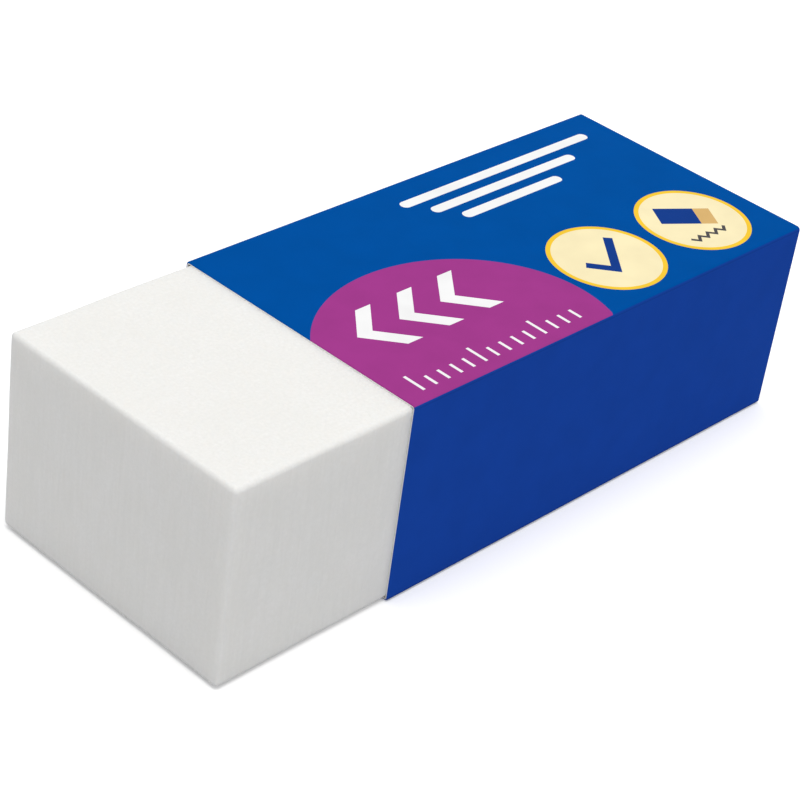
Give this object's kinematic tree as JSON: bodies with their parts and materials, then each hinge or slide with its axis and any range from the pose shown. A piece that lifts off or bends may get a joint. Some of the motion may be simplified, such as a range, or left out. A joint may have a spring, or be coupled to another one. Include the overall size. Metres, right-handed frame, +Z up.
{
  "type": "rubber eraser",
  "caption": "White block eraser with square cut ends in a folded and glued card sleeve that slides along it, leaving one end bare for rubbing out.",
  "frame": {"origin": "middle of the footprint, on the surface that the sleeve lies on", "axes": "+X runs along the block from its bare end to its covered end, the near long side faces -Y, and +Z is up through the printed top panel"},
  "size_m": [0.0474, 0.0186, 0.0132],
  "materials": {
    "block_rubber": "matt white vinyl, smooth on the long sides and faintly knife marked on the cut ends",
    "sleeve_card": "thin satin card, printed blue outside with a plain magenta oval, two cream discs and white chevrons and bars, bare white inside and at its cut edges"
  },
  "bodies": {
    "block": {"eraser_block": "block_rubber"},
    "sleeve": {"card_sleeve": "sleeve_card"}
  },
  "joints": [
    {"name": "sleeve_slide", "type": "slide", "parent": "block", "child": "sleeve", "axis": [1, 0, 0], "range_m": [-0.0127, 0.0365]}
  ]
}
